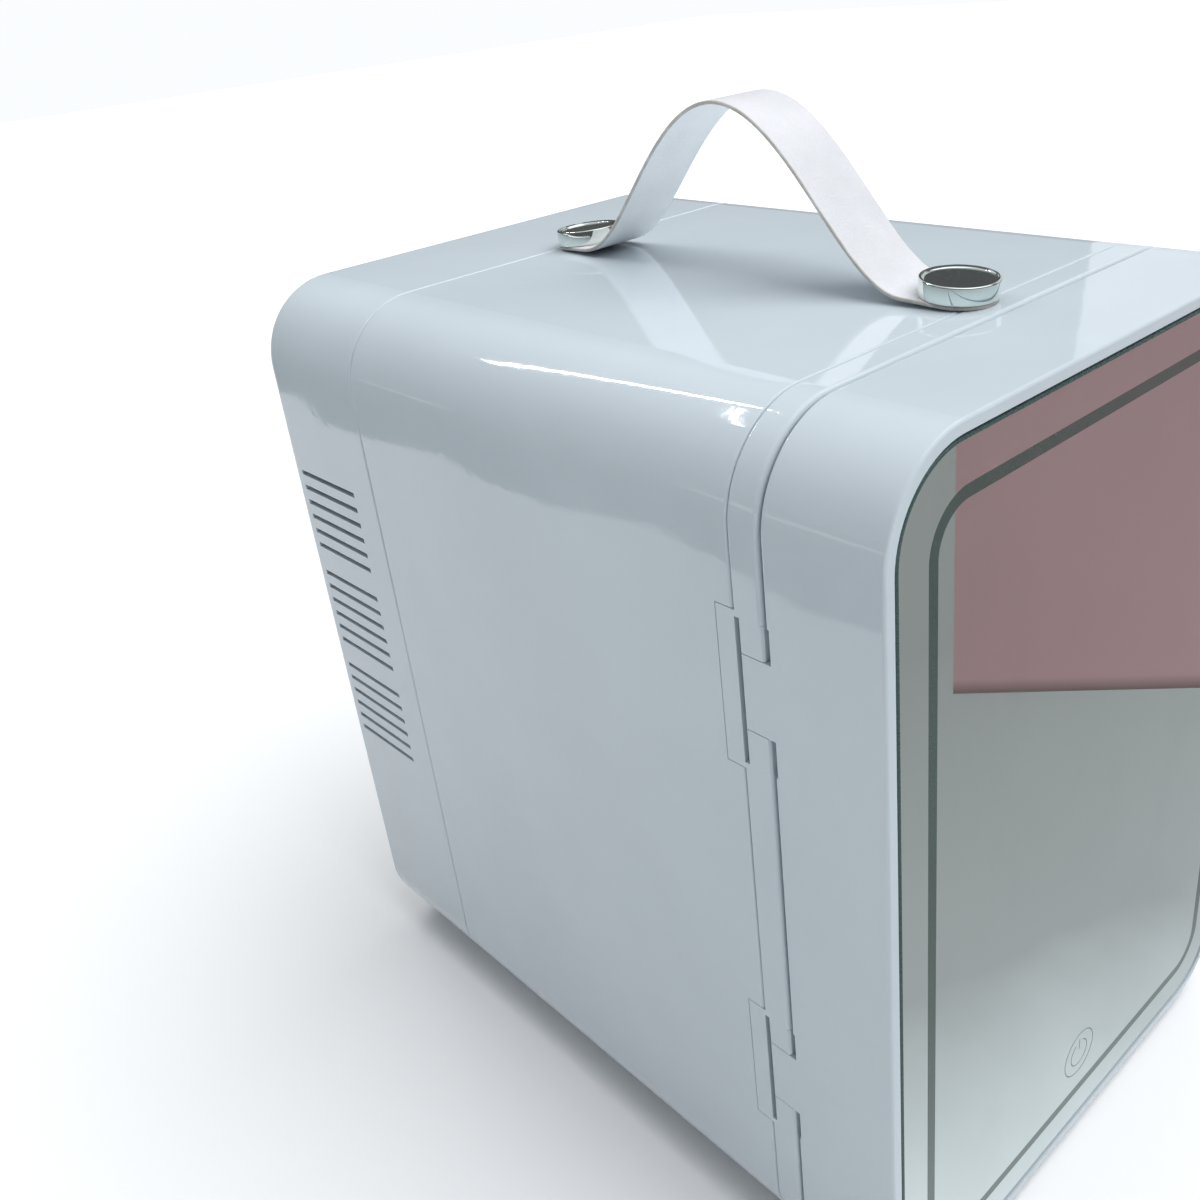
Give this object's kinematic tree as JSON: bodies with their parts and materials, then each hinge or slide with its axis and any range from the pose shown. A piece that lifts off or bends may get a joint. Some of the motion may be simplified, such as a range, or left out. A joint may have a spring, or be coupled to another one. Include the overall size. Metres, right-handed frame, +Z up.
{
  "type": "mini fridge",
  "caption": "Rounded white mini fridge with a framed mirror door on side hinges, an arched carrying strap with round end caps, side vents and a rear fan.",
  "frame": {"origin": "on the surface that the feet stand on, below the centre of the casing", "axes": "+Z up, door faces -Y, hinges on the -X side"},
  "size_m": [0.23, 0.3134, 0.3903],
  "materials": {
    "white_gloss": "gloss",
    "white_matte": "satin",
    "liner_white": "satin",
    "foam": "matte",
    "rubber_grey": "matte",
    "gasket_grey": "satin",
    "black_plastic": "satin",
    "red_plastic": "gloss",
    "aluminium": "satin",
    "ceramic": "matte",
    "circuit_board": "satin",
    "strap_leather": "satin",
    "chrome": "mirror polish",
    "steel": "satin",
    "mirror": "mirror",
    "light_diffuser": "frosted",
    "clear_plastic": "gloss"
  },
  "bodies": {
    "root": {"body_shell": "white_gloss", "front_frame": "white_gloss", "inner_liner": "liner_white", "insulation_foam": "foam", "rear_cover": "white_gloss", "rear_bulkhead": "white_matte", "feet": "rubber_grey", "shelf": "liner_white", "vent_cover": "liner_white", "cold_fan_frame": "black_plastic", "cold_heatsink": "aluminium", "cold_block": "aluminium", "peltier_module": "ceramic", "hot_heatsink": "aluminium", "hot_fan_frame": "black_plastic", "power_board": "circuit_board", "board_components": "black_plastic", "ac_inlet": "black_plastic", "dc_inlet": "black_plastic", "mode_switch_housing": "black_plastic", "handle_strap": "strap_leather", "front_strap_cap": "chrome", "rear_strap_cap": "chrome", "strap_screws": "steel", "strap_backing_plates": "steel", "rear_cover_screws": "steel", "fan_screws": "steel", "heatsink_screws": "steel", "upper_hinge_pin": "steel", "lower_hinge_pin": "steel", "striker_plates": "steel", "internal_wiring": "black_plastic"},
    "door": {"door_shell": "white_gloss", "mirror_glass": "mirror", "mirror_carrier": "liner_white", "light_guide": "light_diffuser", "led_strip": "light_diffuser", "touch_sensor": "circuit_board", "door_foam": "foam", "door_inner_panel": "liner_white", "door_gasket": "gasket_grey", "door_magnets": "steel", "door_screws": "steel"},
    "upper_rack": {"upper_door_rack": "clear_plastic"},
    "lower_rack": {"lower_door_rack": "clear_plastic"},
    "cold_fan": {"cold_fan_rotor": "black_plastic"},
    "hot_fan": {"hot_fan_rotor": "black_plastic"},
    "mode_rocker": {"mode_rocker": "red_plastic"}
  },
  "joints": [
    {"name": "door_hinge", "type": "hinge", "parent": "root", "child": "door", "pos_m": [-0.1116, -0.1119, 0.18], "axis": [0, 0, -1], "range_deg": [0, 105]},
    {"name": "upper_rack_lift", "type": "slide", "parent": "door", "child": "upper_rack", "axis": [0, 0, 1], "range_m": [0, 0.018]},
    {"name": "lower_rack_lift", "type": "slide", "parent": "door", "child": "lower_rack", "axis": [0, 0, 1], "range_m": [0, 0.018]},
    {"name": "cold_fan_spin", "type": "hinge", "parent": "root", "child": "cold_fan", "pos_m": [0, 0.028, 0.19], "axis": [0, 1, 0], "continuous": true},
    {"name": "hot_fan_spin", "type": "hinge", "parent": "root", "child": "hot_fan", "pos_m": [0, 0.113, 0.19], "axis": [0, 1, 0], "continuous": true},
    {"name": "mode_rocker_tilt", "type": "hinge", "parent": "root", "child": "mode_rocker", "pos_m": [-0.038, 0.1511, 0.052], "axis": [0, 0, 1], "range_deg": [-12, 12]}
  ]
}
